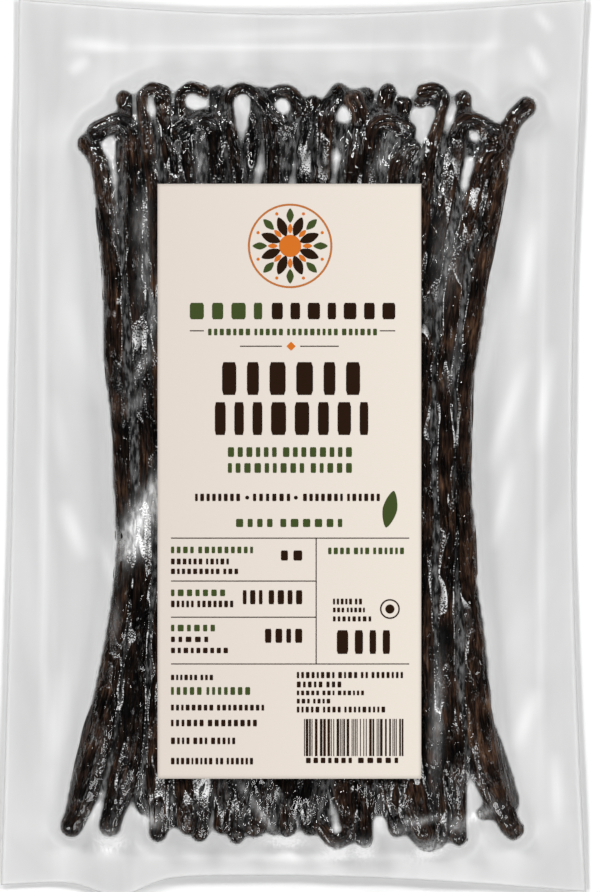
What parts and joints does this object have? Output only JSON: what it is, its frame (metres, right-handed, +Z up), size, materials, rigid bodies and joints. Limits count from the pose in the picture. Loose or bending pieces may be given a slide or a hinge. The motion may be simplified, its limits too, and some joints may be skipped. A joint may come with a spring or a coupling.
{
  "type": "clear sealed pack of vanilla pods",
  "caption": "Flat clear film pouch, welded round its edge, tightly packed with long dark vanilla pods, with an upright cream paper label on its front.",
  "frame": {"origin": "middle of the pack's bounding box on the surface that it lies on", "axes": "+X across the pack to the reader's right, +Y along the pack to its top edge, +Z up out of the labelled front"},
  "size_m": [0.1222, 0.1873, 0.012],
  "materials": {
    "filled_pouch": "clear glossy film drawn tight over dark brown oily pods",
    "label_paper": "smooth cream label paper with a faint laid grain, satin",
    "film": "clear polyethylene and polyamide film, glossy, softly creased",
    "pods": "cured vanilla pod, oily dark brown skin with fine lengthwise wrinkles"
  },
  "bodies": {
    "root": {"bag": "filled_pouch", "label": "label_paper"}
  },
  "joints": []
}
